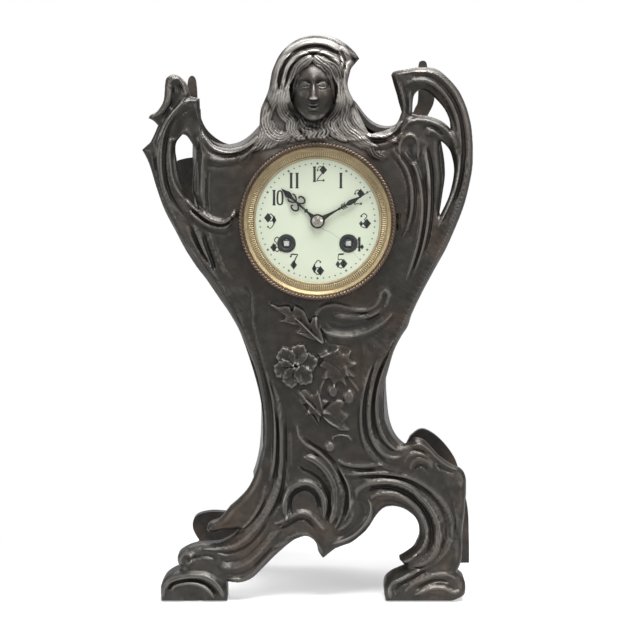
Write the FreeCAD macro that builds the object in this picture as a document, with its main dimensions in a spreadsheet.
"""A figural mantel clock: a cast case on four scroll feet, a round striking movement, a dial and its bezel.

+X is the viewer's right, +Y runs to the back, +Z is up, and the clock stands on Z = 0.
Turned pieces lie along Y. Angles around the dial start at +X and rise towards +Z.
Going train: barrel, intermediate, centre, third and escape wheels. Striking train: barrel, second, pin and
locking wheels and the fly, with the count wheel behind the back plate.
"""

import FreeCAD, Part
import Sketcher
import math
import os
import re

Vector = FreeCAD.Vector
FORWARD = Vector(0, -1, 0)
BACKWARD = Vector(0, 1, 0)

# Driving dimensions, in millimetres
DIMENSIONS = {
    "case_height": 420,
    "case_depth": 120,
    "casting_thickness": 8,
    "panel_wall": 4,
    "mask_relief": 30,
    "foot_flare": 21,
    "rear_flare": 12,
    "scroll_relief": 5,
    "overrun": 1,
    "fit_clearance": 0.05,
    "running_gap": 0.3,
    "tie_screw_radius": 1.8,
    "tie_head_radius": 4,
    "tie_head_height": 2.4,
    "tie_boss_radius": 4.5,
    "tie_boss_length": 14,
    "tie_thread_length": 11,
    "dial_opening_radius": 53,
    "dial_radius": 50,
    "dial_thickness": 1.8,
    "dial_ring_wall": 1.6,
    "dial_ring_depth": 12,
    "dial_ring_flange_radius": 56.5,
    "dial_ring_flange": 1.2,
    "dial_plate_thickness": 1.2,
    "sight_ring_inner_radius": 46,
    
    "sight_ring_thickness": 1.2,
    "bezel_outer_radius": 58.3,
    "bezel_inner_radius": 52.4,
    "bezel_depth": 7,
    "rope_radius": 1.5,
    "glass_radius": 54.6,
    "glass_thickness": 1.4,
    "hinge_barrel_radius": 1.5,
    "hinge_pin_radius": 0.6,
    "hinge_length": 12,
    "winding_hole_radius": 6.4,
    "winding_spacing": 46,
    "winding_drop": 16.6,
    "winding_arbor_radius": 2.6,
    "winding_square": 3.6,
    "plate_radius": 47,
    "plate_thickness": 2.5,
    "motion_gap": 10,
    "plate_gap": 28,
    "pillar_radius": 2.8,
    "pillar_ring_radius": 43,
    "tenon_radius": 1.5,
    "nut_radius": 2.6,
    "nut_height": 2.2,
    "dial_foot_radius": 1.6,
    "dial_foot_ring_radius": 40,
    "strap_ring_radius": 49.2,
    "strap_thickness": 1.4,
    "strap_width": 9,
    "strap_lug_depth": 6,
    "strap_lug_height": 4,
    "strap_screw_radius": 1.2,
    "strap_head_radius": 2.4,
    "strap_head_height": 1.4,
    "barrel_module": 0.46,
    "barrel_drum_depth": 14,
    "barrel_inset": 2,
    "barrel_wheel_thickness": 2,
    "arbor_radius": 0.5,
    "pivot_radius": 0.35,
    "centre_arbor_radius": 1.1,
    "wheel_thickness": 1,
    "leaf_length": 2.6,
    "intermediate_module": 0.42,
    "intermediate_depth": 22.4,
    "centre_module": 0.3,
    "centre_depth": 25.4,
    "third_module": 0.28,
    "third_depth": 10,
    "escape_depth": 4,
    "motion_module": 0.5,
    "hour_motion_module": 0.48,
    "strike_module": 0.36,
    "second_depth": 21,
    "pin_wheel_module": 0.3,
    "pin_wheel_depth": 14,
    "lifting_pin_radius": 0.4,
    "lifting_pin_length": 2,
    "lifting_pin_ring_radius": 7.2,
    "locking_module": 0.26,
    "locking_depth": 7,
    "fly_depth": 13,
    "fly_length": 9,
    "fly_half_width": 4.4,
    "fly_thickness": 0.4,
    "cannon_tube_radius": 2,
    "hour_tube_radius": 3,
    "hand_gap": 0.8,
    "hand_thickness": 0.6,
    "minute_hand_length": 45.8,
    "hour_hand_length": 36.2,
    "hand_width": 2.2,
    "hand_nut_radius": 4.1,
    "hand_nut_height": 1.8,
    "ratchet_radius": 7.2,
    "ratchet_thickness": 1.6,
    "ratchet_gap": 0.4,
    "click_length": 8,
    "click_radius": 1.8,
    "click_pivot_radius": 0.9,
    "escape_radius": 9,
    "escape_height": 22,
    "anchor_height": 35,
    "anchor_half_span": 8.4,
    "anchor_thickness": 1.2,
    "anchor_reach": 6.8,
    "crutch_drop": 30,
    "crutch_width": 1.6,
    "crutch_thickness": 1,
    "crutch_stand_off": 1.6,
    "cock_half_span": 15,
    "cock_height": 8,
    "cock_thickness": 1.6,
    "cock_stand_off": 5,
    "pendulum_length": 147,
    "pendulum_stand_off": 3,
    "rod_radius": 0.9,
    "bob_radius": 22,
    "bob_thickness": 9,
    "rating_nut_radius": 3,
    "rating_nut_height": 3.4,
    "spring_thickness": 0.3,
    "spring_width": 3,
    "spring_length": 7,
    "chops_width": 6,
    "chops_height": 16.5,
    "regulator_radius": 0.9,
    "regulator_height": 49,
    "hammer_arbor_radius": 0.9,
    "hammer_head_radius": 3,
    "hammer_head_length": 8,
    "hammer_gap": 1.2,
    "bell_radius": 33,
    "bell_depth": 20,
    "bell_wall": 1.4,
    "bell_stand_off": 16,
    "standard_width": 6,
    "standard_thickness": 2.4,
    "standard_reach": 38,
    "bell_nut_radius": 3.4,
    "count_wheel_radius": 12.4,
    "count_wheel_stand_off": 0.8,
    "count_notch_width": 1.2,
    "count_notch_depth": 2.2,
    "rear_opening_radius": 52.5,
    "rear_flange_radius": 57,
    "rear_flange": 2,
    "rear_inner_radius": 44,
    "door_radius": 50,
    "door_thickness": 1.4,
    "knob_radius": 2.6,
    "knob_height": 5,
}

DIAL_ACROSS_SHARE = 0.0086
DIAL_UP_SHARE = 0.6752

# Derived places, each a formula of the driving dimensions
PLACES = {
    "front_face": "(mask_relief - case_depth - rear_flare) / 2",
    "rear_face": "front_face + case_depth",
    "front_inside": "front_face + casting_thickness",
    "rear_inside": "rear_face - casting_thickness",
    "dial_x": f"case_height * {DIAL_ACROSS_SHARE}",
    "dial_z": f"case_height * {DIAL_UP_SHARE}",
    "dial_front": "front_face + running_gap",
    "dial_back": "dial_front + dial_thickness",
    "dial_plate_back": "dial_back + dial_plate_thickness",
    "front_plate_front": "dial_plate_back + motion_gap",
    "front_plate_back": "front_plate_front + plate_thickness",
    "back_plate_front": "front_plate_back + plate_gap",
    "back_plate_back": "back_plate_front + plate_thickness",
    "ring_front": "front_face - dial_ring_flange",
    "bezel_back": "ring_front - fit_clearance",
    "bezel_front": "bezel_back - bezel_depth",
    "hinge_x": "dial_x + bezel_outer_radius + hinge_barrel_radius + running_gap",
    "hinge_y": "ring_front - hinge_barrel_radius + running_gap",
    "winding_z": "dial_z - winding_drop",
    "going_x": "dial_x + winding_spacing / 2",
    "striking_x": "dial_x - winding_spacing / 2",
    "barrel_front": "front_plate_back + barrel_inset",
    "barrel_back": "barrel_front + barrel_drum_depth",
    "barrel_wheel_back": "barrel_back + barrel_wheel_thickness",
    "ratchet_back": "front_plate_front - ratchet_gap",
    "ratchet_front": "ratchet_back - ratchet_thickness",
    "hour_hand_back": "dial_front - hand_gap",
    "hour_hand_front": "hour_hand_back - hand_thickness",
    "minute_hand_back": "hour_hand_front - hand_gap",
    "minute_hand_front": "minute_hand_back - hand_thickness",
    "anchor_z": "dial_z + anchor_height",
    "cock_front": "back_plate_back + cock_stand_off",
    "cock_back": "cock_front + cock_thickness",
    "pendulum_y": "cock_back + pendulum_stand_off",
    "bob_z": "anchor_z - pendulum_length",
    "bell_mouth": "back_plate_back + bell_stand_off",
    "bell_crown": "bell_mouth + bell_depth",
    "rear_flange_back": "rear_face + rear_flange",
    "door_front": "rear_flange_back + fit_clearance",
    "door_back": "door_front + door_thickness",
}

doc = FreeCAD.newDocument("mantel_clock")
sheet = doc.addObject("Spreadsheet::Sheet", "sizes")
for row, (name, length) in enumerate(DIMENSIONS.items(), start=1):
    sheet.set("A" + str(row), name)
    sheet.set("B" + str(row), str(length))
    sheet.setAlias("B" + str(row), name)
doc.recompute()

places = doc.addObject("App::FeaturePython", "places")
DIMENSION_WORDS = re.compile(r"\b(" + "|".join(DIMENSIONS) + r")\b")
PLACE_WORDS = re.compile(r"\b(" + "|".join(PLACES) + r")\b")


def formula(text):
    """A formula of plain names, with each name led to the sheet or to the derived places."""
    return PLACE_WORDS.sub(r"places.\1", DIMENSION_WORDS.sub(r"sizes.\1", text))


for name, text in PLACES.items():
    places.addProperty("App::PropertyFloat", name)
for name, text in PLACES.items():
    places.setExpression(name, formula(text))
doc.recompute()


class Lengths:
    """Every driving dimension and derived place as a plain number, for the shapes that code sets."""


mm = Lengths()
for name in DIMENSIONS:
    setattr(mm, name, float(sheet.get(name)))
for name in PLACES:
    setattr(mm, name, float(getattr(places, name)))

pieces = []


def bind(feature, prop, text):
    feature.setExpression(prop, formula(text))


def piece(label, feature):
    """Takes a finished feature as the sub-part of that name."""
    feature.Label = label
    pieces.append(feature)
    return feature


def shaped(label, shape):
    """A sub-part whose shape is set from code, placed in the clock's own frame."""
    feature = doc.addObject("Part::Feature", label)
    feature.Shape = shape
    feature.Placement = shape.Placement
    return piece(label, feature)


# Bound primitives


def disc(name, radius, start, end, x="dial_x", z="dial_z"):
    """A cylinder along Y between two stations."""
    feature = doc.addObject("Part::Cylinder", name)
    feature.Placement = FreeCAD.Placement(Vector(), FreeCAD.Rotation(Vector(1, 0, 0), -90))
    bind(feature, "Radius", radius)
    bind(feature, "Height", f"({end}) - ({start})")
    bind(feature, "Placement.Base.x", x)
    bind(feature, "Placement.Base.y", start)
    bind(feature, "Placement.Base.z", z)
    return feature


def block(name, x, y, z, width, depth, height):
    """A box whose X and Z are centred on x and z, and which runs back from y."""
    feature = doc.addObject("Part::Box", name)
    bind(feature, "Length", width)
    bind(feature, "Width", depth)
    bind(feature, "Height", height)
    bind(feature, "Placement.Base.x", f"({x}) - ({width}) / 2")
    bind(feature, "Placement.Base.y", y)
    bind(feature, "Placement.Base.z", f"({z}) - ({height}) / 2")
    return feature


def fused(name, parts):
    feature = doc.addObject("Part::MultiFuse", name)
    feature.Shapes = parts
    return feature


def less(name, base, tools):
    """The base with every tool cut out of it."""
    feature = doc.addObject("Part::Cut", name)
    feature.Base = base
    feature.Tool = tools[0] if len(tools) == 1 else fused(name + "_tools", tools)
    return feature


def bore(name, radius, start, end, x="dial_x", z="dial_z"):
    """A cutting cylinder that overruns both stations."""
    return disc(name, radius, f"({start}) - overrun", f"({end}) + overrun", x, z)


def ringed(name, outer, inner, start, end, x="dial_x", z="dial_z"):
    rim = disc(name + "_rim", outer, start, end, x, z)
    return less(name, rim, [bore(name + "_bore", inner, start, end, x, z)])


def around(ring, angle):
    """The X and Z formulas of a place on a ring about the dial's centre."""
    return f"dial_x + ({ring}) * cos({angle})", f"dial_z + ({ring}) * sin({angle})"


def turned(label, x, y, z, corners):
    """A body turned about Y: its corners are radii and offsets behind y, each a formula above or at zero."""
    body = doc.addObject("PartDesign::Body", label)
    sketch = body.newObject("Sketcher::SketchObject", label + "_profile")
    plane = [origin for origin in body.Origin.OriginFeatures if origin.Role == "XY_Plane"][0]
    sketch.AttachmentSupport = (plane, "")
    sketch.MapMode = "FlatFace"
    for at in range(len(corners)):
        here, there = Vector(at, at * at), Vector(at + 1, (at + 1) ** 2)
        if at == len(corners) - 1:
            there = Vector()
        sketch.addGeometry(Part.LineSegment(here, there))
    for at in range(len(corners)):
        sketch.addConstraint(Sketcher.Constraint("Coincident", at, 2, (at + 1) % len(corners), 1))
    for at, (radius, offset) in enumerate(corners):
        for kind, axis, text in (("DistanceX", -2, radius), ("DistanceY", -1, offset)):
            if text == "0":
                sketch.addConstraint(Sketcher.Constraint("PointOnObject", at, 1, axis))
            else:
                added = sketch.addConstraint(Sketcher.Constraint(kind, -1, 1, at, 1, at + 1))
                bind(sketch, f"Constraints[{added}]", text)
    turn = body.newObject("PartDesign::Revolution", label + "_turn")
    turn.Profile = sketch
    turn.ReferenceAxis = (sketch, ["V_Axis"])
    turn.Angle = 360
    for axis, text in zip("xyz", (x, y, z)):
        bind(body, "Placement.Base." + axis, text)
    return piece(label, body)


# Shapes set from code


def rod(radius, start, end, x=None, z=None):
    """A solid cylinder along Y."""
    centre = Vector(mm.dial_x if x is None else x, start, mm.dial_z if z is None else z)
    return Part.makeCylinder(radius, end - start, centre, BACKWARD)


def slab(points, start, end):
    """A flat plate between two Y stations, whose outline is a list of X and Z."""
    wire = Part.makePolygon([Vector(x, start, z) for x, z in points + points[:1]])
    return Part.Face(wire).extrude(Vector(0, end - start, 0))


def brick(x0, x1, y0, y1, z0, z1):
    return Part.makeBox(x1 - x0, y1 - y0, z1 - z0, Vector(x0, y0, z0))


def polar(x, z, radius, angle):
    return x + radius * math.cos(angle), z + radius * math.sin(angle)


# Gear teeth: straight-sided and slender, with heights in modules and widths in pitches

TOOTH_TIP_SHARE = 0.85
TOOTH_ROOT_SHARE = 1.25
ROOT_WIDTH_SHARE = 0.48
TIP_WIDTH_SHARE = 0.18


class Gear:
    """A wheel or pinion on an arbor at X and Z, with a tooth at its phase angle."""

    def __init__(self, teeth, module, x, z, phase=0.0):
        self.teeth, self.module, self.x, self.z, self.phase = teeth, module, x, z, phase
        self.radius = teeth * module / 2
        self.pitch = 2 * math.pi / teeth

    def reach(self, other_teeth):
        """The distance to the arbor of a gear that this one meshes with."""
        return (self.teeth + other_teeth) * self.module / 2

    def driven(self, teeth, x, z):
        """The gear of so many teeth at X and Z, turned so that it meshes with this one."""
        towards = math.atan2(z - self.z, x - self.x)
        pitch = 2 * math.pi / teeth
        passed = ((self.phase - towards) % self.pitch) / self.pitch
        phase = towards + math.pi - passed * pitch + pitch / 2
        return Gear(teeth, self.module, x, z, phase)

    def solid(self, start, end):
        root = self.radius - TOOTH_ROOT_SHARE * self.module
        tip = self.radius + TOOTH_TIP_SHARE * self.module
        half_root, half_tip = ROOT_WIDTH_SHARE * self.pitch / 2, TIP_WIDTH_SHARE * self.pitch / 2
        points = []
        for tooth in range(self.teeth):
            middle = self.phase + tooth * self.pitch
            points.append(polar(self.x, self.z, root, middle - half_root))
            points.append(polar(self.x, self.z, tip, middle - half_tip))
            points.append(polar(self.x, self.z, tip, middle + half_tip))
            points.append(polar(self.x, self.z, root, middle + half_root))
        return slab(points, start, end)


WINDOWS = 5
WINDOW_RADIUS_SHARE = 0.22
WINDOW_RING_SHARE = 0.56


def crossed_out(gear, start, end, bore_radius):
    """A wheel with round windows between its arms and a hole for its arbor."""
    tools = [rod(bore_radius, start - mm.overrun, end + mm.overrun, gear.x, gear.z)]
    for window in range(WINDOWS):
        x, z = polar(gear.x, gear.z, gear.radius * WINDOW_RING_SHARE, 2 * math.pi * window / WINDOWS)
        tools.append(
            rod(gear.radius * WINDOW_RADIUS_SHARE, start - mm.overrun, end + mm.overrun, x, z)
        )
    return gear.solid(start, end).cut(tools)


def meeting(x0, z0, reach0, x1, z1, reach1, side):
    """The place that lies at two reaches from two places, on one side of the line between them."""
    apart = math.hypot(x1 - x0, z1 - z0)
    along = (reach0**2 - reach1**2 + apart**2) / (2 * apart)
    off = side * math.sqrt(reach0**2 - along**2)
    run, rise = (x1 - x0) / apart, (z1 - z0) / apart
    return x0 + along * run - off * rise, z0 + along * rise + off * run


# The going train and the striking train

BARREL_TEETH, BARREL_PINION = 76, 14
INTERMEDIATE_TEETH, CENTRE_PINION = 64, 10
CENTRE_TEETH, THIRD_PINION = 84, 7
THIRD_TEETH, ESCAPE_PINION = 78, 6
ESCAPE_TEETH = 30
CANNON_LEAVES, MINUTE_TEETH, MINUTE_LEAVES, HOUR_TEETH = 12, 36, 10, 40
SECOND_TEETH, PIN_PINION = 72, 8
PIN_WHEEL_TEETH, LOCKING_PINION = 60, 7
LOCKING_TEETH, FLY_PINION = 56, 6
LIFTING_PINS = 10
BLOWS = (1, 2, 3, 4, 5, 6, 7, 8, 9, 10, 11, 12)
MINUTE_WHEEL_ANGLE = math.radians(150)
SECOND_ANGLE = math.radians(105)
PIN_WHEEL_ANGLE = math.radians(60)
LOCKING_ANGLE = math.radians(75)
FLY_ANGLE = math.radians(10)

going_barrel = Gear(BARREL_TEETH, mm.barrel_module, mm.going_x, mm.winding_z)
centre_reach = (INTERMEDIATE_TEETH + CENTRE_PINION) * mm.intermediate_module / 2
intermediate_x, intermediate_z = meeting(
    mm.dial_x,
    mm.dial_z,
    centre_reach,
    mm.going_x,
    mm.winding_z,
    going_barrel.reach(BARREL_PINION),
    1,
)
intermediate_pinion = going_barrel.driven(BARREL_PINION, intermediate_x, intermediate_z)
intermediate_wheel = Gear(
    INTERMEDIATE_TEETH, mm.intermediate_module, intermediate_x, intermediate_z
)
centre_pinion = intermediate_wheel.driven(CENTRE_PINION, mm.dial_x, mm.dial_z)
centre_wheel = Gear(CENTRE_TEETH, mm.centre_module, mm.dial_x, mm.dial_z)
third_x, third_z = meeting(
    mm.dial_x,
    mm.dial_z,
    centre_wheel.reach(THIRD_PINION),
    mm.dial_x,
    mm.dial_z + mm.escape_height,
    (THIRD_TEETH + ESCAPE_PINION) * mm.third_module / 2,
    1,
)
third_pinion = centre_wheel.driven(THIRD_PINION, third_x, third_z)
third_wheel = Gear(THIRD_TEETH, mm.third_module, third_x, third_z)
escape_pinion = third_wheel.driven(ESCAPE_PINION, mm.dial_x, mm.dial_z + mm.escape_height)

cannon = Gear(CANNON_LEAVES, mm.motion_module, mm.dial_x, mm.dial_z)
minute_x, minute_z = polar(mm.dial_x, mm.dial_z, cannon.reach(MINUTE_TEETH), MINUTE_WHEEL_ANGLE)
minute_wheel = cannon.driven(MINUTE_TEETH, minute_x, minute_z)
minute_pinion = Gear(MINUTE_LEAVES, mm.hour_motion_module, minute_x, minute_z)
hour_wheel = minute_pinion.driven(HOUR_TEETH, mm.dial_x, mm.dial_z)

striking_barrel = Gear(BARREL_TEETH, mm.barrel_module, mm.striking_x, mm.winding_z)
second_x, second_z = polar(
    mm.striking_x, mm.winding_z, striking_barrel.reach(BARREL_PINION), SECOND_ANGLE
)
second_pinion = striking_barrel.driven(BARREL_PINION, second_x, second_z)
second_wheel = Gear(SECOND_TEETH, mm.strike_module, second_x, second_z)
pin_x, pin_z = polar(second_x, second_z, second_wheel.reach(PIN_PINION), PIN_WHEEL_ANGLE)
pin_pinion = second_wheel.driven(PIN_PINION, pin_x, pin_z)
pin_wheel = Gear(PIN_WHEEL_TEETH, mm.pin_wheel_module, pin_x, pin_z)
locking_x, locking_z = polar(pin_x, pin_z, pin_wheel.reach(LOCKING_PINION), LOCKING_ANGLE)
locking_pinion = pin_wheel.driven(LOCKING_PINION, locking_x, locking_z)
locking_wheel = Gear(LOCKING_TEETH, mm.locking_module, locking_x, locking_z)
fly_x, fly_z = polar(locking_x, locking_z, locking_wheel.reach(FLY_PINION), FLY_ANGLE)
fly_pinion = locking_wheel.driven(FLY_PINION, fly_x, fly_z)

HAMMER_PLACE_SHARES = (-0.766, 0.532)
hammer_x = mm.dial_x + HAMMER_PLACE_SHARES[0] * mm.plate_radius
hammer_z = mm.dial_z + HAMMER_PLACE_SHARES[1] * mm.plate_radius


def depth(offset):
    """The Y station that lies so far behind the front plate's back."""
    return mm.front_plate_back + offset


def pivoted(x, z, start=None, end=None, radius=None):
    """An arbor between the plates with thinner pivots that run through both of them."""
    radius = mm.arbor_radius if radius is None else radius
    start = mm.front_plate_front if start is None else start
    end = mm.back_plate_back if end is None else end
    body = rod(radius, mm.front_plate_back + mm.fit_clearance, mm.back_plate_front - mm.fit_clearance, x, z)
    return body.fuse(rod(mm.pivot_radius, start, end, x, z))


ARBOR_PLACES = [
    (intermediate_x, intermediate_z),
    (third_x, third_z),
    (mm.dial_x, mm.dial_z + mm.escape_height),
    (second_x, second_z),
    (pin_x, pin_z),
    (locking_x, locking_z),
    (fly_x, fly_z),
]
WINDING_PLACES = [(mm.going_x, mm.winding_z), (mm.striking_x, mm.winding_z)]
PILLAR_ANGLES = (-90, 188.5, 115, 35)
DIAL_FOOT_ANGLES = (-90, 200, 85)
STRAP_ANGLES = (0, 180)


def plate(label, front, back, centre_radius, anchor_radius):
    """A round movement plate with a hole for each pillar tenon and each arbor."""
    blank = doc.addObject("Part::Feature", label + "_holes")
    tools = []
    for angle in PILLAR_ANGLES:
        x, z = polar(mm.dial_x, mm.dial_z, mm.pillar_ring_radius, math.radians(angle))
        tools.append(rod(mm.tenon_radius + mm.fit_clearance, front, back, x, z))
    for x, z in ARBOR_PLACES:
        tools.append(rod(mm.pivot_radius + mm.fit_clearance, front, back, x, z))
    for x, z in WINDING_PLACES:
        tools.append(rod(mm.winding_arbor_radius + mm.fit_clearance, front, back, x, z))
    tools.append(rod(centre_radius + mm.fit_clearance, front, back))
    tools.append(rod(anchor_radius + mm.fit_clearance, front, back, z=mm.anchor_z))
    tools.append(rod(mm.hammer_arbor_radius + mm.fit_clearance, front, back, hammer_x, hammer_z))
    blank.Shape = Part.makeCompound(tools)
    return blank


# The plates and what joins them

front_holes = plate(
    "front_plate", mm.front_plate_front, mm.front_plate_back, mm.centre_arbor_radius, mm.pivot_radius
)
back_holes = plate(
    "back_plate", mm.back_plate_front, mm.back_plate_back, mm.pivot_radius, mm.arbor_radius
)
piece(
    "front_plate",
    less(
        "front_plate_drilled",
        disc("front_plate_blank", "plate_radius", "front_plate_front", "front_plate_back"),
        [front_holes],
    ),
)
piece(
    "back_plate",
    less(
        "back_plate_drilled",
        disc("back_plate_blank", "plate_radius", "back_plate_front", "back_plate_back"),
        [back_holes],
    ),
)

pillars, nuts = [], []
for number, angle in enumerate(PILLAR_ANGLES):
    x, z = around("pillar_ring_radius", angle)
    name = f"pillar_{number}"
    pillars.append(
        fused(
            name,
            [
                disc(name + "_shaft", "pillar_radius", "front_plate_back", "back_plate_front", x, z),
                disc(
                    name + "_tenon",
                    "tenon_radius",
                    "front_plate_front",
                    "back_plate_back + nut_height",
                    x,
                    z,
                ),
            ],
        )
    )
    nuts.append(
        ringed(
            f"nut_{number}",
            "nut_radius",
            "tenon_radius + fit_clearance",
            "back_plate_back",
            "back_plate_back + nut_height",
            x,
            z,
        )
    )


def group(label, features):
    """One sub-part of several separate solids that are alike."""
    feature = doc.addObject("Part::Compound", label + "_group")
    feature.Links = features
    return piece(label, feature)


group("plate_pillars", pillars)
group("pillar_nuts", nuts)


# The dial, its plate, its ring and the glazed bezel

winding_bores = [
    bore(f"dial_winding_bore_{x}", "winding_hole_radius", "dial_front", "dial_plate_back", x, "winding_z")
    for x in ("going_x", "striking_x")
]
centre_bore = bore(
    "dial_centre_bore", "hour_tube_radius + running_gap", "dial_front", "dial_plate_back"
)
regulator_bore = bore(
    "dial_regulator_bore",
    "regulator_radius + running_gap",
    "dial_front - sight_ring_thickness",
    "dial_plate_back",
    z="dial_z + regulator_height",
)
piece(
    "dial",
    less(
        "dial_pierced",
        disc("dial_disc", "dial_radius", "dial_front", "dial_back"),
        winding_bores + [centre_bore, regulator_bore],
    ),
)
piece(
    "dial_plate",
    less(
        "dial_plate_pierced",
        disc(
            "dial_plate_disc",
            "dial_opening_radius - dial_ring_wall - fit_clearance - running_gap",
            "dial_back",
            "dial_plate_back",
        ),
        winding_bores + [centre_bore, regulator_bore],
    ),
)
group(
    "dial_pillars",
    [
        disc(
            f"dial_foot_{number}",
            "dial_foot_radius",
            "dial_plate_back",
            "front_plate_front",
            *around("dial_foot_ring_radius", angle),
        )
        for number, angle in enumerate(DIAL_FOOT_ANGLES)
    ],
)
KNUCKLE_SHARE = 1 / 6
DEEP_CUT_SHARE = 4
ring_inner = mm.dial_opening_radius - mm.running_gap - mm.dial_ring_wall


def upright(radius, bottom, top):
    """A cylinder about the bezel hinge's axis."""
    return Part.makeCylinder(radius, top - bottom, Vector(mm.hinge_x, mm.hinge_y, bottom))


def dial_ring():
    """The fixed ring in the case's opening: a tube, a lip on the case's face and two hinge knuckles."""
    third = mm.hinge_length * KNUCKLE_SHARE
    ring = rod(mm.dial_opening_radius - mm.running_gap, mm.ring_front, mm.front_face + mm.dial_ring_depth)
    ring = ring.fuse(rod(mm.dial_ring_flange_radius, mm.ring_front, mm.front_face))
    for side in (-1, 1):
        low, high = sorted((side * (third + mm.running_gap), side * mm.hinge_length / 2))
        low, high = mm.dial_z + low, mm.dial_z + high
        ring = ring.fuse(
            brick(
                mm.dial_x + mm.dial_opening_radius,
                mm.hinge_x + mm.hinge_barrel_radius / 2,
                mm.ring_front,
                mm.front_face,
                low,
                high,
            )
        )
        ring = ring.fuse(upright(mm.hinge_barrel_radius, low, high))
    ring_back = mm.front_face + mm.dial_ring_depth
    ring = ring.cut(rod(ring_inner, mm.ring_front - mm.overrun * DEEP_CUT_SHARE, ring_back + mm.overrun))
    return ring.cut(
        upright(
            mm.hinge_pin_radius + mm.fit_clearance,
            mm.dial_z - mm.hinge_length,
            mm.dial_z + mm.hinge_length,
        )
    )


shaped("dial_ring", dial_ring())
GLASS_SEAT_SHARE = 0.24


def front_bezel():
    """The hinged bezel: a raised ring with a rounded rope edge, a seat for the glass and one knuckle."""
    seat = mm.bezel_front + GLASS_SEAT_SHARE * mm.bezel_depth
    edge = mm.bezel_outer_radius - mm.rope_radius
    shape = rod(mm.bezel_outer_radius, mm.bezel_front + mm.rope_radius, mm.bezel_back)
    shape = shape.fuse(rod(edge, mm.bezel_front, mm.bezel_back))
    rope = Part.makeTorus(
        edge, mm.rope_radius, Vector(mm.dial_x, mm.bezel_front + mm.rope_radius, mm.dial_z), BACKWARD
    )
    shape = shape.fuse(rope)
    third = mm.hinge_length * KNUCKLE_SHARE - mm.fit_clearance
    low, high = mm.dial_z - third, mm.dial_z + third
    tongue = brick(
        mm.dial_x + mm.bezel_outer_radius - mm.overrun * 2,
        mm.hinge_x,
        mm.hinge_y - mm.hinge_barrel_radius / 2,
        mm.hinge_y + mm.hinge_barrel_radius / 2,
        low,
        high,
    )
    shape = shape.fuse([tongue, upright(mm.hinge_barrel_radius, low, high)])
    shape = shape.cut(rod(mm.bezel_inner_radius, mm.bezel_front - mm.overrun, mm.bezel_back + mm.overrun))
    shape = shape.cut(rod(mm.glass_radius + mm.fit_clearance, seat, mm.bezel_back + mm.overrun))
    return shape.cut(
        upright(
            mm.hinge_pin_radius + mm.fit_clearance,
            mm.dial_z - mm.hinge_length,
            mm.dial_z + mm.hinge_length,
        )
    )


shaped("front_bezel", front_bezel())
glass_front = f"bezel_front + {GLASS_SEAT_SHARE} * bezel_depth"
piece("glass", disc("glass_disc", "glass_radius", glass_front, f"{glass_front} + glass_thickness"))

sight_rim = ringed(
    "sight_rim",
    "dial_opening_radius - running_gap - dial_ring_wall - fit_clearance",
    "sight_ring_inner_radius",
    "dial_front - sight_ring_thickness",
    "dial_front",
)
piece("sight_ring", less("sight_ring_bored", sight_rim, [regulator_bore]))


# The hands

HAND_OUTLINE_SHARES = (
    (-0.12, 0.0), (-0.1, 0.5), (0.1, 0.45), (0.35, 0.5), (0.55, 0.8), (0.7, 1.1), (0.8, 0.6), (1.0, 0.0),
)
MINUTE_HAND_ANGLE = math.radians(90 - 60.3)
HOUR_HAND_ANGLE = math.radians(90 - 312)
CROSS_SHARE = 0.44
CROSS_BAR_SHARE = 0.25
CROSS_REACH_SHARE = 1.5


def hand(length, angle, back, hub, hole):
    """A slender pierced hand: a round hub, a swelling blade and a small cross on it."""
    points = [(along * length, half * mm.hand_width) for along, half in HAND_OUTLINE_SHARES]
    points += [(along, -half) for along, half in reversed(points[1:-1])]
    blade = slab(points, back - mm.hand_thickness, back)
    bar = brick(
        length * CROSS_SHARE - mm.hand_width * CROSS_BAR_SHARE,
        length * CROSS_SHARE + mm.hand_width * CROSS_BAR_SHARE,
        back - mm.hand_thickness,
        back,
        -mm.hand_width * CROSS_REACH_SHARE,
        mm.hand_width * CROSS_REACH_SHARE,
    )
    shape = blade.fuse([bar, rod(hub, back - mm.hand_thickness, back, 0, 0)])
    shape = shape.cut(rod(hole, back - mm.hand_thickness - mm.overrun, back + mm.overrun, 0, 0))
    shape.rotate(Vector(), FORWARD, math.degrees(angle))
    shape.translate(Vector(mm.dial_x, 0, mm.dial_z))
    return shape


HUB_WALL_SHARE = 1.9
shaped(
    "minute_hand",
    hand(
        mm.minute_hand_length,
        MINUTE_HAND_ANGLE,
        mm.minute_hand_back,
        mm.cannon_tube_radius * HUB_WALL_SHARE,
        mm.cannon_tube_radius,
    ),
)
shaped(
    "hour_hand",
    hand(
        mm.hour_hand_length,
        HOUR_HAND_ANGLE,
        mm.hour_hand_back,
        mm.hour_tube_radius * HUB_WALL_SHARE,
        mm.hour_tube_radius,
    ),
)
turned(
    "hand_nut",
    "dial_x",
    "minute_hand_front - hand_nut_height",
    "dial_z",
    [
        ("0", "0"),
        ("hand_nut_radius / 2", "0"),
        ("hand_nut_radius", "hand_nut_height / 2"),
        ("hand_nut_radius", "hand_nut_height"),
        ("0", "hand_nut_height"),
    ],
)


# Motion work

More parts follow.
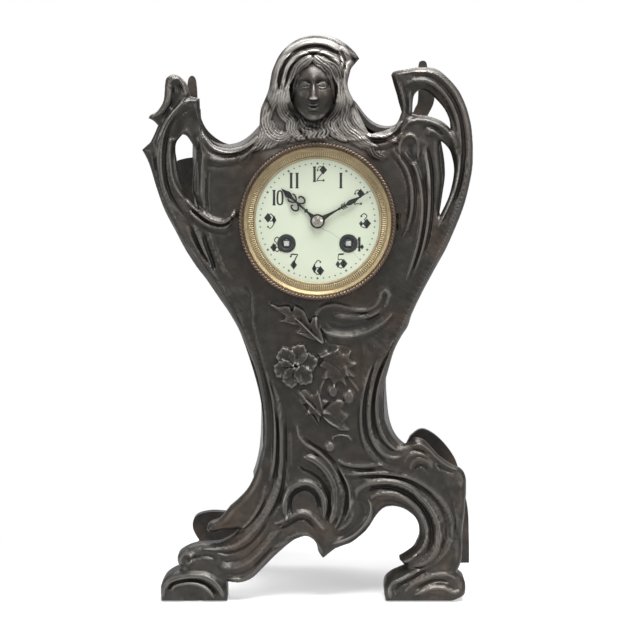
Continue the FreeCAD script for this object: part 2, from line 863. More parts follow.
motion_front = mm.front_plate_front - mm.fit_clearance
cannon_leaves_front = motion_front - mm.leaf_length
minute_pinion_front = cannon_leaves_front - mm.running_gap - mm.leaf_length
cannon_shape = cannon.solid(cannon_leaves_front, motion_front)
cannon_shape = cannon_shape.fuse(rod(mm.cannon_tube_radius, mm.minute_hand_front, motion_front))
cannon_shape = cannon_shape.cut(
    rod(mm.centre_arbor_radius, mm.minute_hand_front - mm.overrun, motion_front + mm.overrun)
)
shaped("cannon_pinion", cannon_shape)
minute_front = cannon_leaves_front + mm.running_gap
minute_shape = crossed_out(
    minute_wheel, minute_front, minute_front + mm.wheel_thickness, mm.centre_arbor_radius
)
minute_stud = rod(mm.arbor_radius, minute_pinion_front, mm.front_plate_front, minute_x, minute_z)
minute_shape = minute_shape.fuse(
    [
        minute_pinion.solid(minute_pinion_front, minute_front),
        rod(
            mm.centre_arbor_radius + mm.overrun / 2,
            minute_front,
            minute_front + mm.wheel_thickness,
            minute_x,
            minute_z,
        ),
    ]
)
minute_bore = rod(
    mm.arbor_radius + mm.fit_clearance,
    minute_pinion_front - mm.overrun,
    mm.front_plate_front + mm.overrun,
    minute_x,
    minute_z,
)
shaped("minute_wheel", minute_shape.cut(minute_bore))
hour_front = minute_pinion_front + mm.running_gap
hour_back = hour_front + mm.wheel_thickness
hour_shape = crossed_out(hour_wheel, hour_front, hour_back, mm.hour_tube_radius - mm.overrun / 2)
hour_shape = hour_shape.fuse(rod(mm.hour_tube_radius, mm.hour_hand_front, hour_back))
hour_bore = rod(
    mm.cannon_tube_radius + mm.fit_clearance, mm.hour_hand_front - mm.overrun, hour_back + mm.overrun
)
shaped("hour_wheel", hour_shape.cut(hour_bore))


# The going train

ARBOR_HUB_SHARE = 1.6


def barrel(label, gear):
    """A mainspring barrel: a drum and its cover, hollow, with a toothed rim behind it."""
    drum = rod(
        gear.radius - 2 * gear.module, mm.barrel_front, mm.barrel_back, gear.x, gear.z
    )
    solid = gear.solid(mm.barrel_back, mm.barrel_wheel_back).fuse(drum)
    wall = mm.overrun
    hollow = rod(
        gear.radius - 2 * gear.module - wall,
        mm.barrel_front + wall,
        mm.barrel_back,
        gear.x,
        gear.z,
    )
    hole = rod(
        mm.winding_arbor_radius + mm.fit_clearance,
        mm.barrel_front - mm.overrun,
        mm.barrel_wheel_back + mm.overrun,
        gear.x,
        gear.z,
    )
    return shaped(label, solid.cut([hollow, hole]))


def winding_arbor(label, x):
    """An arbor through both plates, with a square at its front end for the key."""
    arbor = rod(
        mm.winding_arbor_radius,
        mm.ratchet_front,
        mm.back_plate_back,
        x,
        mm.winding_z,
    )
    half = mm.winding_square / 2
    square = brick(
        x - half, x + half, mm.dial_front, mm.ratchet_front, mm.winding_z - half, mm.winding_z + half
    )
    return shaped(label, arbor.fuse(square))


RATCHET_TEETH = 24
RATCHET_ROOT_SHARE = 0.86
RATCHET_LEAN_SHARE = 0.15
ESCAPE_ROOT_SHARE = 0.84
ESCAPE_LEAN_SHARE = 0.3
ESCAPE_WINDOW_SHARE = 0.18


def saw_teeth(teeth, tip, root, lean, x, z, start, end):
    """A wheel with leaning pointed teeth."""
    points = []
    for tooth in range(teeth):
        angle = 2 * math.pi * tooth / teeth
        points.append(polar(x, z, tip, angle))
        points.append(polar(x, z, root, angle + lean * 2 * math.pi / teeth))
    return slab(points, start, end)


def ratchet(label, x):
    wheel = saw_teeth(
        RATCHET_TEETH,
        mm.ratchet_radius,
        mm.ratchet_radius * RATCHET_ROOT_SHARE,
        RATCHET_LEAN_SHARE,
        x,
        mm.winding_z,
        mm.ratchet_front,
        mm.ratchet_back,
    )
    hole = rod(mm.winding_arbor_radius, mm.ratchet_front, mm.ratchet_back, x, mm.winding_z)
    return shaped(label, wheel.cut(hole))


CLICK_ANGLE = math.radians(65)
CLICK_PIVOT_SHARE = 1.6
CLICK_GAP_SHARE = 1.5
CLICK_TIP_SHARE = 0.8
CLICK_HEEL_SHARE = 0.7
CLICK_BACK_SHARE = 0.9


def click_place(x):
    """The click's pivot, clear of its ratchet."""
    return polar(x, mm.winding_z, mm.ratchet_radius + mm.click_radius * CLICK_PIVOT_SHARE, CLICK_ANGLE)


def click(label, x):
    """A pawl on a stud of the front plate: it lies beside the ratchet, and its tip rests on the teeth."""
    px, pz = click_place(x)
    front, back = mm.ratchet_front, mm.ratchet_back
    reach = mm.ratchet_radius + mm.running_gap * CLICK_GAP_SHARE
    tip = polar(x, mm.winding_z, reach, CLICK_ANGLE - mm.click_length / reach * CLICK_TIP_SHARE)
    heel_angle = CLICK_ANGLE - mm.click_length / reach * CLICK_HEEL_SHARE
    near = polar(x, mm.winding_z, reach + mm.click_radius, heel_angle)
    far = polar(px, pz, mm.click_radius * CLICK_BACK_SHARE, CLICK_ANGLE)
    close = polar(px, pz, mm.click_radius * 0.9, CLICK_ANGLE + math.pi)
    arm = slab([close, tip, near, far], front, back)
    body = arm.fuse(rod(mm.click_radius, front, back, px, pz))
    hole = rod(mm.click_pivot_radius + mm.fit_clearance, front - mm.overrun, back + mm.overrun, px, pz)
    return shaped(label, body.cut(hole))


barrel("time_barrel", going_barrel)
barrel("strike_barrel", striking_barrel)
winding_arbor("time_winding_arbor", mm.going_x)
winding_arbor("strike_winding_arbor", mm.striking_x)
ratchet("time_ratchet", mm.going_x)
ratchet("strike_ratchet", mm.striking_x)
click("time_click", mm.going_x)
click("strike_click", mm.striking_x)
studs = [minute_stud]
for number, x in enumerate((mm.going_x, mm.striking_x)):
    px, pz = click_place(x)
    stud = rod(mm.click_pivot_radius, mm.ratchet_front - mm.running_gap, mm.front_plate_front, px, pz)
    head = rod(
        mm.click_pivot_radius * 2,
        mm.ratchet_front - mm.running_gap - mm.hand_thickness,
        mm.ratchet_front - mm.running_gap,
        px,
        pz,
    )
    studs.append(stud.fuse(head))
shaped("front_plate_studs", Part.makeCompound(studs))

leaves_back = mm.barrel_wheel_back + mm.running_gap
intermediate_front = depth(mm.intermediate_depth)
arbor = pivoted(intermediate_x, intermediate_z)
arbor = arbor.fuse(intermediate_pinion.solid(mm.barrel_back - mm.running_gap, leaves_back))
shaped("intermediate_arbor", arbor)
shaped(
    "intermediate_wheel",
    crossed_out(
        intermediate_wheel, intermediate_front, intermediate_front + mm.wheel_thickness, mm.arbor_radius
    ),
)

centre_front = depth(mm.centre_depth)
arbor = rod(mm.centre_arbor_radius, mm.minute_hand_front, mm.back_plate_front - mm.fit_clearance)
arbor = arbor.fuse(rod(mm.pivot_radius, mm.minute_hand_front, mm.back_plate_back))
arbor = arbor.fuse(
    centre_pinion.solid(
        intermediate_front - mm.running_gap,
        intermediate_front + mm.wheel_thickness * ARBOR_HUB_SHARE,
    )
)
shaped("centre_arbor", arbor)
shaped(
    "centre_wheel",
    crossed_out(centre_wheel, centre_front, centre_front + mm.wheel_thickness, mm.centre_arbor_radius),
)

third_front = depth(mm.third_depth)
arbor = pivoted(third_x, third_z)
arbor = arbor.fuse(
    third_pinion.solid(centre_front - mm.running_gap, mm.back_plate_front - mm.running_gap)
)
third_shape = crossed_out(third_wheel, third_front, third_front + mm.wheel_thickness, mm.arbor_radius)
shaped("third_wheel", arbor.fuse(third_shape))

escape_front = depth(mm.escape_depth)
escape_back = escape_front + mm.wheel_thickness
escape_z = mm.dial_z + mm.escape_height
arbor = pivoted(mm.dial_x, escape_z)
arbor = arbor.fuse(
    escape_pinion.solid(third_front - mm.running_gap, third_front + mm.wheel_thickness + mm.running_gap)
)
escape_shape = saw_teeth(
    ESCAPE_TEETH,
    mm.escape_radius,
    mm.escape_radius * ESCAPE_ROOT_SHARE,
    ESCAPE_LEAN_SHARE,
    mm.dial_x,
    escape_z,
    escape_front,
    escape_back,
)
for window in range(WINDOWS):
    x, z = polar(mm.dial_x, escape_z, mm.escape_radius * WINDOW_RING_SHARE, 2 * math.pi * window / WINDOWS)
    hole = rod(mm.escape_radius * ESCAPE_WINDOW_SHARE, escape_front, escape_back, x, z)
    escape_shape = escape_shape.cut(hole)
shaped("escape_wheel", arbor.fuse(escape_shape))


# The anchor, its crutch and the pendulum

BOB_CURVE_SHARES = ((0.6, 0.12), (1.0, 0.4), (1.0, 0.6), (0.6, 0.88))
BOB_BORE_SHARE = 1.5
RATING_BORE_SHARE = 3
ANCHOR_HUB_SHARE = 2
ANCHOR_SHARES = ((0, 0.32), (0.62, 0.05), (1.0, -0.62), (1.0, -1.0), (0.84, -0.82), (0.5, -0.3), (0, -0.12))


def anchor():
    """An arched anchor over the escape wheel, whose pallets stop just short of the teeth."""
    points = [
        (mm.dial_x + across * mm.anchor_half_span, mm.anchor_z + up * mm.anchor_reach)
        for across, up in ANCHOR_SHARES
    ]
    points += [(2 * mm.dial_x - x, z) for x, z in reversed(points[1:-1])]
    front = escape_front
    back = front + mm.anchor_thickness
    hub = rod(mm.arbor_radius * ANCHOR_HUB_SHARE, front, back, z=mm.anchor_z)
    return slab(points, front, back).fuse(hub).cut(rod(mm.arbor_radius, front, back, z=mm.anchor_z))


shaped("anchor", anchor())

crutch_front = mm.back_plate_back + mm.crutch_stand_off
crutch_foot = mm.anchor_z - mm.crutch_drop
arbor = rod(
    mm.arbor_radius,
    mm.front_plate_back + mm.fit_clearance,
    mm.cock_front - mm.fit_clearance,
    z=mm.anchor_z,
)
arbor = arbor.fuse(rod(mm.pivot_radius, mm.front_plate_front, mm.cock_back, z=mm.anchor_z))
arbor = arbor.fuse(
    brick(
        mm.dial_x - mm.crutch_width / 2,
        mm.dial_x + mm.crutch_width / 2,
        crutch_front,
        crutch_front + mm.crutch_thickness,
        crutch_foot,
        mm.anchor_z,
    )
)
for side in (-1, 1):
    inner = mm.rod_radius + mm.running_gap
    low, high = sorted((side * inner, side * (inner + mm.crutch_thickness)))
    arbor = arbor.fuse(
        brick(
            mm.dial_x + low,
            mm.dial_x + high,
            crutch_front,
            mm.pendulum_y + mm.rod_radius,
            crutch_foot - mm.crutch_width,
            crutch_foot,
        )
    )
arbor = arbor.fuse(
    brick(
        mm.dial_x - inner - mm.crutch_thickness,
        mm.dial_x + inner + mm.crutch_thickness,
        crutch_front,
        crutch_front + mm.crutch_thickness,
        crutch_foot - mm.crutch_width,
        crutch_foot + mm.crutch_thickness,
    )
)
shaped("anchor_arbor", arbor)


def back_cock():
    """The bridge behind the back plate that carries the anchor arbor and the pendulum."""
    half = mm.cock_height / 2
    bridge = brick(
        mm.dial_x - mm.cock_half_span,
        mm.dial_x + mm.cock_half_span,
        mm.cock_front,
        mm.cock_back,
        mm.anchor_z - half,
        mm.anchor_z + half,
    )
    for side in (-1, 1):
        low, high = sorted((side * mm.cock_half_span, side * (mm.cock_half_span - mm.cock_stand_off)))
        bridge = bridge.fuse(
            brick(
                mm.dial_x + low,
                mm.dial_x + high,
                mm.back_plate_back,
                mm.cock_front,
                mm.anchor_z - half,
                mm.anchor_z + half,
            )
        )
    hole = rod(
        mm.pivot_radius + mm.fit_clearance, mm.cock_front, mm.cock_back + mm.overrun, z=mm.anchor_z
    )
    return bridge.cut(hole)


shaped("back_cock", back_cock())
chops_bottom = mm.anchor_z + mm.running_gap
chops = brick(
    mm.dial_x - mm.chops_width / 2,
    mm.dial_x + mm.chops_width / 2,
    mm.cock_back,
    mm.pendulum_y + mm.spring_width / 2,
    chops_bottom + mm.overrun,
    chops_bottom + mm.overrun + mm.chops_height,
)
regulator_z = mm.dial_z + mm.regulator_height
regulator_hole = rod(
    mm.regulator_radius + mm.fit_clearance,
    mm.cock_back - mm.overrun,
    mm.pendulum_y + mm.spring_width,
    z=regulator_z,
)
shaped("suspension_block", chops.cut(regulator_hole))
spring = brick(
    mm.dial_x - mm.spring_thickness / 2,
    mm.dial_x + mm.spring_thickness / 2,
    mm.pendulum_y - mm.spring_width / 2,
    mm.pendulum_y + mm.spring_width / 2,
    mm.anchor_z - mm.spring_length,
    chops_bottom + mm.overrun - mm.fit_clearance,
)
shaped("suspension_spring", spring)
rod_top = mm.anchor_z - mm.spring_length
rod_bottom = mm.bob_z - mm.bob_radius - mm.rating_nut_height * 2
rod_foot = Vector(mm.dial_x, mm.pendulum_y, rod_bottom)
pendulum_rod = Part.makeCylinder(mm.rod_radius, rod_top - rod_bottom, rod_foot)
ferrule = brick(
    mm.dial_x - mm.spring_width / 2,
    mm.dial_x + mm.spring_width / 2,
    mm.pendulum_y - mm.spring_width / 2,
    mm.pendulum_y + mm.spring_width / 2,
    rod_top - mm.spring_width,
    rod_top,
)
shaped("pendulum_rod", pendulum_rod.fuse(ferrule))
bob_corners = [
    ("0", "0"),
    *((f"bob_radius * {radius}", f"bob_thickness * {behind}") for radius, behind in BOB_CURVE_SHARES),
    ("0", "bob_thickness"),
]
bob_blank = turned("bob_blank", "dial_x", "pendulum_y - bob_thickness / 2", "bob_z", bob_corners)
pieces.remove(bob_blank)
bob_bore = doc.addObject("Part::Cylinder", "bob_bore")
bind(bob_bore, "Radius", "rod_radius + fit_clearance")
bind(bob_bore, "Height", f"bob_radius * {2 * BOB_BORE_SHARE}")
bind(bob_bore, "Placement.Base.x", "dial_x")
bind(bob_bore, "Placement.Base.y", "pendulum_y")
bind(bob_bore, "Placement.Base.z", f"bob_z - bob_radius * {BOB_BORE_SHARE}")
piece("pendulum_bob", less("bob_bored", bob_blank, [bob_bore]))
nut_top = mm.bob_z - mm.bob_radius
nut_foot = Vector(mm.dial_x, mm.pendulum_y, nut_top - mm.rating_nut_height)
rating = Part.makeCylinder(mm.rating_nut_radius, mm.rating_nut_height, nut_foot)
rating = rating.cut(
    Part.makeCylinder(
        mm.rod_radius + mm.fit_clearance,
        mm.rating_nut_height * RATING_BORE_SHARE,
        Vector(mm.dial_x, mm.pendulum_y, nut_top - mm.rating_nut_height * 2),
    )
)
shaped("rating_nut", rating)


# The striking train

second_front = depth(mm.second_depth)
arbor = pivoted(second_x, second_z, end=mm.back_plate_back + mm.count_wheel_stand_off + mm.wheel_thickness)
arbor = arbor.fuse(second_pinion.solid(mm.barrel_back - mm.running_gap, leaves_back))
arbor = arbor.fuse(
    crossed_out(second_wheel, second_front, second_front + mm.wheel_thickness, mm.arbor_radius)
)
shaped("strike_second_wheel", arbor)

pin_front = depth(mm.pin_wheel_depth)
arbor = pivoted(pin_x, pin_z)
arbor = arbor.fuse(
    pin_pinion.solid(second_front - mm.running_gap, second_front + mm.wheel_thickness + mm.running_gap)
)
arbor = arbor.fuse(crossed_out(pin_wheel, pin_front, pin_front + mm.wheel_thickness, mm.arbor_radius))
for pin in range(LIFTING_PINS):
    x, z = polar(pin_x, pin_z, mm.lifting_pin_ring_radius, 2 * math.pi * (pin + 0.5) / LIFTING_PINS)
    arbor = arbor.fuse(
        rod(
            mm.lifting_pin_radius,
            pin_front + mm.wheel_thickness / 2,
            pin_front + mm.wheel_thickness + mm.lifting_pin_length,
            x,
            z,
        )
    )
shaped("pin_wheel", arbor)

locking_front = depth(mm.locking_depth)
arbor = pivoted(locking_x, locking_z)
arbor = arbor.fuse(
    locking_pinion.solid(pin_front - mm.running_gap, pin_front + mm.wheel_thickness + mm.running_gap)
)
arbor = arbor.fuse(
    crossed_out(locking_wheel, locking_front, locking_front + mm.wheel_thickness, mm.arbor_radius)
)
shaped("locking_wheel", arbor)

fly_front = depth(mm.fly_depth)
arbor = pivoted(fly_x, fly_z)
arbor = arbor.fuse(
    fly_pinion.solid(
        locking_front - mm.running_gap, locking_front + mm.wheel_thickness + mm.running_gap
    )
)
arbor = arbor.fuse(
    brick(
        fly_x - mm.fly_half_width,
        fly_x + mm.fly_half_width,
        fly_front,
        fly_front + mm.fly_length,
        fly_z - mm.fly_thickness / 2,
        fly_z + mm.fly_thickness / 2,
    )
)
shaped("fly", arbor)


def count_wheel():
    """The count wheel: its rim is notched after each hour's number of blows, with the halves between."""
    front = mm.back_plate_back + mm.count_wheel_stand_off
    back = front + mm.wheel_thickness
    wheel = rod(mm.count_wheel_radius, front, back, second_x, second_z)
    total = sum(BLOWS) + len(BLOWS)
    turned_by = 0
    for blows in BLOWS:
        turned_by += blows + 1
        angle = 2 * math.pi * turned_by / total
        notch = brick(
            mm.count_wheel_radius - mm.count_notch_depth,
            mm.count_wheel_radius + mm.overrun,
            front - mm.overrun,
            back + mm.overrun,
            -mm.count_notch_width / 2,
            mm.count_notch_width / 2,
        )
        notch.rotate(Vector(), FORWARD, math.degrees(angle))
        notch.translate(Vector(second_x, 0, second_z))
        wheel = wheel.cut(notch)
    return wheel.cut(rod(mm.pivot_radius, front - mm.overrun, back + mm.overrun, second_x, second_z))


shaped("count_wheel", count_wheel())


# The hammer, the bell and its standard


def hammer():
    """The hammer: an arbor between the plates, a tail among the lifting pins and a head beside the bell."""
    arbor = rod(
        mm.hammer_arbor_radius, mm.front_plate_front, mm.bell_mouth + mm.bell_depth / 2, hammer_x, hammer_z
    )
    tail_y = pin_front + mm.wheel_thickness + mm.running_gap
    towards = math.atan2(pin_z - hammer_z, pin_x - hammer_x)
    apart = math.hypot(pin_x - hammer_x, pin_z - hammer_z)
    tip = apart - mm.lifting_pin_ring_radius - mm.lifting_pin_radius - mm.running_gap
    half = mm.hammer_arbor_radius
    tail = brick(0, tip, tail_y, tail_y + mm.lifting_pin_length / 2, -half, half)
    tail.rotate(Vector(), FORWARD, math.degrees(towards))
    tail.translate(Vector(hammer_x, 0, hammer_z))
    stem_y = mm.bell_mouth + mm.bell_depth / 2
    return arbor.fuse(tail), stem_y


hammer_shape, stem_y = hammer()
bell_edge = mm.bell_radius
hammer_reach = math.hypot(hammer_x - mm.dial_x, hammer_z - mm.dial_z)
outward = math.atan2(hammer_z - mm.dial_z, hammer_x - mm.dial_x)
HAMMER_SWING = math.radians(28)
head_x, head_z = polar(
    mm.dial_x, mm.dial_z, bell_edge + mm.hammer_gap + mm.hammer_head_length / 2, outward + HAMMER_SWING
)
stem_length = math.hypot(head_x - hammer_x, head_z - hammer_z)
stem_angle = math.atan2(head_z - hammer_z, head_x - hammer_x)
stem = brick(
    0,
    stem_length,
    stem_y - mm.hammer_arbor_radius,
    stem_y + mm.hammer_arbor_radius,
    -mm.hammer_arbor_radius,
    mm.hammer_arbor_radius,
)
stem.rotate(Vector(), FORWARD, math.degrees(stem_angle))
stem.translate(Vector(hammer_x, 0, hammer_z))
face_direction = Vector(math.cos(outward + HAMMER_SWING), 0, math.sin(outward + HAMMER_SWING))
head = Part.makeCylinder(
    mm.hammer_head_radius,
    mm.hammer_head_length,
    Vector(head_x, stem_y, head_z) - face_direction * (mm.hammer_head_length / 2),
    face_direction,
)
shaped("hammer", hammer_shape.fuse([stem, head]))

BELL_CURVE_SHARES = ((1.0, 0.0), (0.96, 0.25), (0.86, 0.5), (0.66, 0.75), (0.38, 0.92))
CROWN_SHARE = BELL_CURVE_SHARES[-1][0]
BELL_NUT_SHARE = 3
bell_outer = [(f"bell_radius * {r}", f"bell_depth * {o}") for r, o in BELL_CURVE_SHARES]
bell_inner = [(f"bell_radius * {r} - bell_wall", f"bell_depth * {o}") for r, o in BELL_CURVE_SHARES[:-1]]
bell_outer[0] = ("bell_radius", "0")
bell_inner[0] = ("bell_radius - bell_wall", "0")
bell_corners = (
    bell_inner
    + [(f"bell_radius * {CROWN_SHARE} - bell_wall", "bell_depth - bell_wall")]
    + [("tenon_radius", "bell_depth - bell_wall")]
    + [("tenon_radius", "bell_depth")]
    + [(f"bell_radius * {CROWN_SHARE}", "bell_depth")]
    + bell_outer[::-1][1:]
)
turned("bell", "dial_x", "bell_mouth", "dial_z", bell_corners)


def bell_standard():
    """The bell's bracket: a foot on the back plate, an arm around the bell and a stud through its crown."""
    half = mm.standard_width / 2
    arm_x = mm.dial_x + mm.standard_reach
    arm_back = mm.bell_crown + mm.standard_thickness
    arm = brick(
        arm_x, arm_x + mm.standard_thickness, mm.back_plate_back, arm_back, mm.dial_z - half, mm.dial_z + half
    )
    bar = brick(
        mm.dial_x - half,
        arm_x + mm.standard_thickness,
        mm.bell_crown,
        arm_back,
        mm.dial_z - half,
        mm.dial_z + half,
    )
    stud_front = mm.bell_crown - mm.bell_wall * BELL_NUT_SHARE
    stud = rod(mm.tenon_radius - mm.fit_clearance, stud_front, mm.bell_crown)
    nut = rod(mm.bell_nut_radius, stud_front, mm.bell_crown - mm.bell_wall)
    return arm.fuse([bar, stud, nut])


shaped("bell_standard", bell_standard())


# The rear ring, the straps that draw the movement into the case, and the rear door

REAR_SIDE = -1
rear_hinge_x = mm.dial_x + REAR_SIDE * (
    mm.rear_flange_radius + mm.hinge_barrel_radius + mm.running_gap
)
rear_hinge_y = mm.rear_flange_back + mm.hinge_barrel_radius - mm.running_gap
STRAP_SCREW_SHARE = 1.4
STRAP_HOLE_SHARE = 0.8
STRAP_THREAD_SHARE = 0.7
KNOB_INSET_SHARE = 3
third = mm.hinge_length * KNUCKLE_SHARE
screw_ring = mm.strap_ring_radius - mm.strap_thickness * STRAP_SCREW_SHARE


def rear_upright(radius, bottom, top):
    return Part.makeCylinder(radius, top - bottom, Vector(rear_hinge_x, rear_hinge_y, bottom))


rear_hinge_bore = rear_upright(
    mm.hinge_pin_radius + mm.fit_clearance, mm.dial_z - mm.hinge_length, mm.dial_z + mm.hinge_length
)


def rear_bezel():
    """The ring on the back of the case, with counterbored holes for the strap screws and two knuckles."""
    ring = rod(mm.rear_flange_radius, mm.rear_face, mm.rear_flange_back)
    tools = [rod(mm.rear_inner_radius, mm.rear_face - mm.overrun, mm.rear_flange_back + mm.overrun)]
    for angle in STRAP_ANGLES:
        x, z = polar(mm.dial_x, mm.dial_z, screw_ring, math.radians(angle))
        tools.append(
            rod(
                mm.strap_screw_radius + mm.fit_clearance,
                mm.rear_face - mm.overrun,
                mm.rear_flange_back,
                x,
                z,
            )
        )
        tools.append(
            rod(
                mm.strap_head_radius + mm.fit_clearance,
                mm.rear_flange_back - mm.strap_head_height,
                mm.rear_flange_back + mm.overrun,
                x,
                z,
            )
        )
    ring = ring.cut(tools)
    inner_x, outer_x = sorted(
        (mm.dial_x + REAR_SIDE * (mm.rear_flange_radius - mm.overrun * 2), rear_hinge_x)
    )
    for side in (-1, 1):
        low, high = sorted((side * (third + mm.running_gap), side * mm.hinge_length / 2))
        low, high = mm.dial_z + low, mm.dial_z + high
        ear = brick(inner_x, outer_x, mm.rear_face, mm.rear_flange_back, low, high)
        ring = ring.fuse([ear, rear_upright(mm.hinge_barrel_radius, low, high)])
    return ring.cut(rear_hinge_bore)


def rear_door():
    """The door over the back of the movement, with a knuckle on one side and a knob on the other."""
    low, high = mm.dial_z - third + mm.fit_clearance, mm.dial_z + third - mm.fit_clearance
    inner_x, outer_x = sorted((mm.dial_x + REAR_SIDE * (mm.door_radius - mm.overrun * 2), rear_hinge_x))
    door = rod(mm.door_radius, mm.door_front, mm.door_back)
    tongue = brick(inner_x, outer_x, mm.door_front, mm.door_back, low, high)
    door = door.fuse([tongue, rear_upright(mm.hinge_barrel_radius, low, high)])
    knob_x = mm.dial_x - REAR_SIDE * (mm.door_radius - mm.knob_radius * KNOB_INSET_SHARE)
    knob = rod(mm.knob_radius, mm.door_back - mm.overrun / 2, mm.door_back + mm.knob_height, knob_x)
    door = door.fuse(knob)
    return door.cut(rear_hinge_bore)


shaped("rear_bezel", rear_bezel())
shaped("rear_door", rear_door())
pins = []
for x, y in ((mm.hinge_x, mm.hinge_y), (rear_hinge_x, rear_hinge_y)):
    pins.append(
        Part.makeCylinder(
            mm.hinge_pin_radius, mm.hinge_length, Vector(x, y, mm.dial_z - mm.hinge_length / 2)
        )
    )
shaped("hinge_pins", Part.makeCompound(pins))

straps, strap_screws = [], []
for angle in STRAP_ANGLES:
    half = mm.strap_thickness / 2
    outer = mm.strap_ring_radius + half
    strap = brick(
        mm.strap_ring_radius - half,
        outer,
        mm.dial_plate_back,
        mm.rear_face,
        -mm.strap_width / 2,
        mm.strap_width / 2,
    )
    lug = brick(
        outer - mm.strap_lug_height,
        outer,
        mm.rear_face - mm.strap_lug_depth,
        mm.rear_face,
        -mm.strap_width / 2,
        mm.strap_width / 2,
    )
    hole = rod(
        mm.strap_screw_radius,
        mm.rear_face - mm.strap_lug_depth * STRAP_HOLE_SHARE,
        mm.rear_face + mm.overrun,
        screw_ring,
        0,
    )
    strap = strap.fuse(lug).cut(hole)
    thread_end = mm.rear_face - mm.strap_lug_depth * STRAP_THREAD_SHARE
    screw = rod(mm.strap_screw_radius, thread_end, mm.rear_flange_back, screw_ring, 0)
    screw = screw.fuse(
        rod(
            mm.strap_head_radius,
            mm.rear_flange_back - mm.strap_head_height,
            mm.rear_flange_back,
            screw_ring,
            0,
        )
    )
    for shape, collection in ((strap, straps), (screw, strap_screws)):
        shape.rotate(Vector(), FORWARD, angle)
        shape.translate(Vector(mm.dial_x, 0, mm.dial_z))
        collection.append(shape)
shaped("movement_straps", Part.makeCompound(straps))
shaped("strap_screws", Part.makeCompound(strap_screws))

regulator = rod(mm.regulator_radius, mm.dial_front, mm.pendulum_y, z=regulator_z)
shaped("regulating_arbor", regulator)


# The case. Its outlines are pixels of the photograph, led to the front plane by the camera's view.

EYE_DISTANCE_SHARE = 3.667
EYE_HEIGHT_SHARE = 0.9024
EYE_TILT = math.radians(6.2)
FOCAL_PIXELS = 2080
MIDDLE_PIXELS = 317.5
FLARE_HEIGHT_SHARE = 0.27
REAR_SPREAD_SHARE = 1.1


def flare(z):
    """How far the legs' front face stands forward of the front plane at a height."""
    rise = max(0.0, 1 - max(z, 0.0) / (FLARE_HEIGHT_SHARE * mm.case_height))
    return mm.foot_flare * rise**2


def seen(across, down):
    """The X and Z on the flared front face that a pixel of the photograph shows."""
    right = (across - MIDDLE_PIXELS) / FOCAL_PIXELS
    low = (down - MIDDLE_PIXELS) / FOCAL_PIXELS
    forward = 0.0
    for _ in range(4):
        away = (EYE_DISTANCE_SHARE * mm.case_height - forward) / (
            math.cos(EYE_TILT) - low * math.sin(EYE_TILT)
        )
        z = EYE_HEIGHT_SHARE * mm.case_height - (math.sin(EYE_TILT) + low * math.cos(EYE_TILT)) * away
        forward = flare(z)
    return mm.dial_x + right * away, max(z, 0.0)


def smooth(points, y=0.0):
    """An edge through a few places: straight for two, a curve for more."""
    places_3d = [Vector(x, y, z) for x, z in points]
    if len(places_3d) == 2:
        return Part.makeLine(*places_3d)
    curve = Part.BSplineCurve()
    curve.interpolate(places_3d)
    return curve.toShape()


def joined(stretches):
    """A face inside smooth stretches that follow one another, each from the last one's end."""
    edges = []
    start = stretches[-1][-1]
    for stretch in stretches:
        edges.append(smooth([start] + stretch))
        start = stretch[-1]
    return Part.Face(Part.Wire(edges))


def traced(stretches):
    return joined([[seen(*pixel) for pixel in stretch] for stretch in stretches])


FRONT_PIXELS = [
    [(150, 142), (157.5, 125.5)],
    [(148, 118.3)],
    [(156, 112), (163, 101), (164.5, 85), (169, 76), (176, 74.5), (185, 82), (190, 96.5)],
    [(199, 98.5)],
    [(200, 120), (204, 134.5), (214, 145), (228, 148.5), (243, 145), (259, 130)],
    [(260, 114)],
    [(267, 94), (272, 72), (284, 49.5), (303, 37), (320, 34.8), (338, 39), (359.5, 58.5)],
    [(351, 69), (347.5, 84), (352, 97), (360, 116)],
    [(369, 132.5), (384, 131), (398, 122), (402, 112)],
    [(397, 94), (393, 79)],
    [(394, 71.5), (408, 69), (430, 67.5), (449, 78.5), (464, 100), (472, 128), (473.5, 160)],
    [
        (468, 193), (455, 230), (430, 279), (411, 320), (394, 352), (384.5, 387), (383, 410), (392, 438),
        (412, 442),
    ],
    [(423, 440.5), (439, 456.5), (458, 468.5), (466, 478), (466.5, 495)],
    [(463, 530), (462, 560), (457, 574)],
    [(465, 584), (463, 598), (452, 612)],
    [(386, 612)],
    [(385, 586), (400, 573), (408, 569.5)],
    [(400, 561)],
    [(415, 548), (420, 536), (415, 518), (400, 508.5), (385, 509), (370, 527)],
    [(352, 543.5), (334, 551), (323, 559.5)],
    [(317, 547), (306, 537.5), (290, 544), (263, 569), (240, 584), (226, 583)],
    [(227, 612)],
    [(161, 612)],
    [(160, 590), (166, 578), (180, 570)],
    [(178, 557), (187, 549.5), (205, 545.5), (222, 543.5), (240, 530)],
    [(224, 531), (210, 534), (206.5, 529), (220, 520), (230, 508)],
    [
        (245, 494), (258, 465), (264.5, 430), (260.5, 391), (245, 344), (219, 299), (185, 250), (153, 178),
        (141.5, 150),
    ],
]
LEFT_LOOP_PIXELS = [
    [(186, 136), (196, 151), (194, 168), (191, 190)],
    [(199, 210)],
    [(184, 191), (176, 160), (182, 134.5)],
]
UPPER_LOOP_PIXELS = [
    [(413.5, 99), (420, 90.5), (436, 98), (448, 114), (451, 129)],
    [(440, 120), (426, 116), (412.5, 114)],
]
LOWER_LOOP_PIXELS = [
    [(450, 150), (454.5, 170), (450, 195), (440.5, 216)],
    [(440, 205), (443, 180), (440.5, 155), (441, 141)],
]
